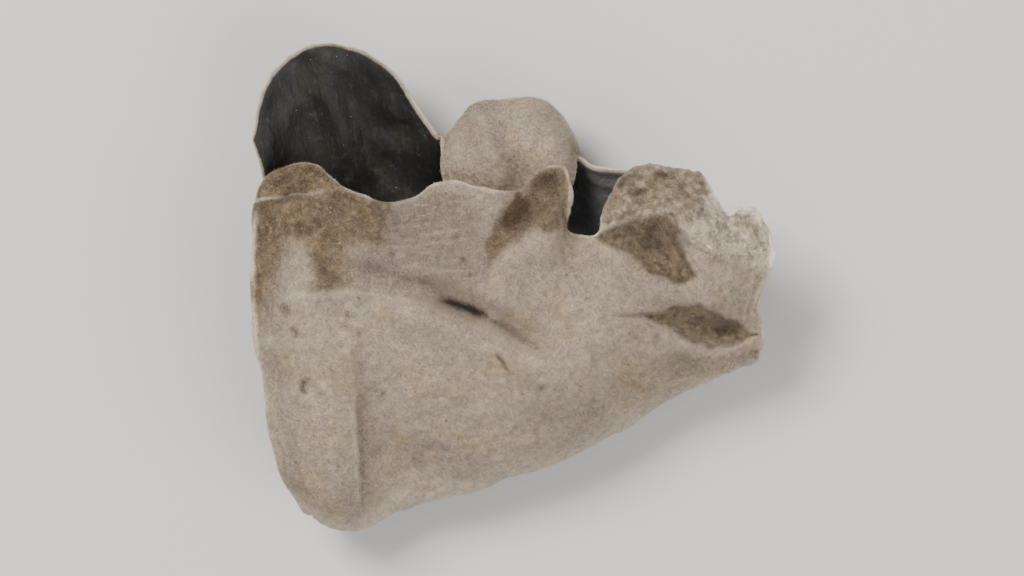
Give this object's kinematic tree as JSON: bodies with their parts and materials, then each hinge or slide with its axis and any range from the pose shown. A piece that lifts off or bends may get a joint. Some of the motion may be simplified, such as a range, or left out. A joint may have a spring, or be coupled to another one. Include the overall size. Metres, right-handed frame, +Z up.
{
  "type": "wood ear mushroom",
  "caption": "Dried wood ear mushroom: a thin leathery sheet folded over on itself, pale and felted outside, smooth and black inside.",
  "frame": {"origin": "middle of the bounding box, on the surface that the mushroom lies on", "axes": "+X along the fold towards the end with the rough lobe, +Y from the fold towards the open margins, +Z up, away from the cut scar"},
  "size_m": [0.0547, 0.051, 0.018],
  "materials": {
    "flesh": "matt felted outside, satin black inside"
  },
  "bodies": {
    "root": {"wood_ear": "flesh"}
  },
  "joints": []
}
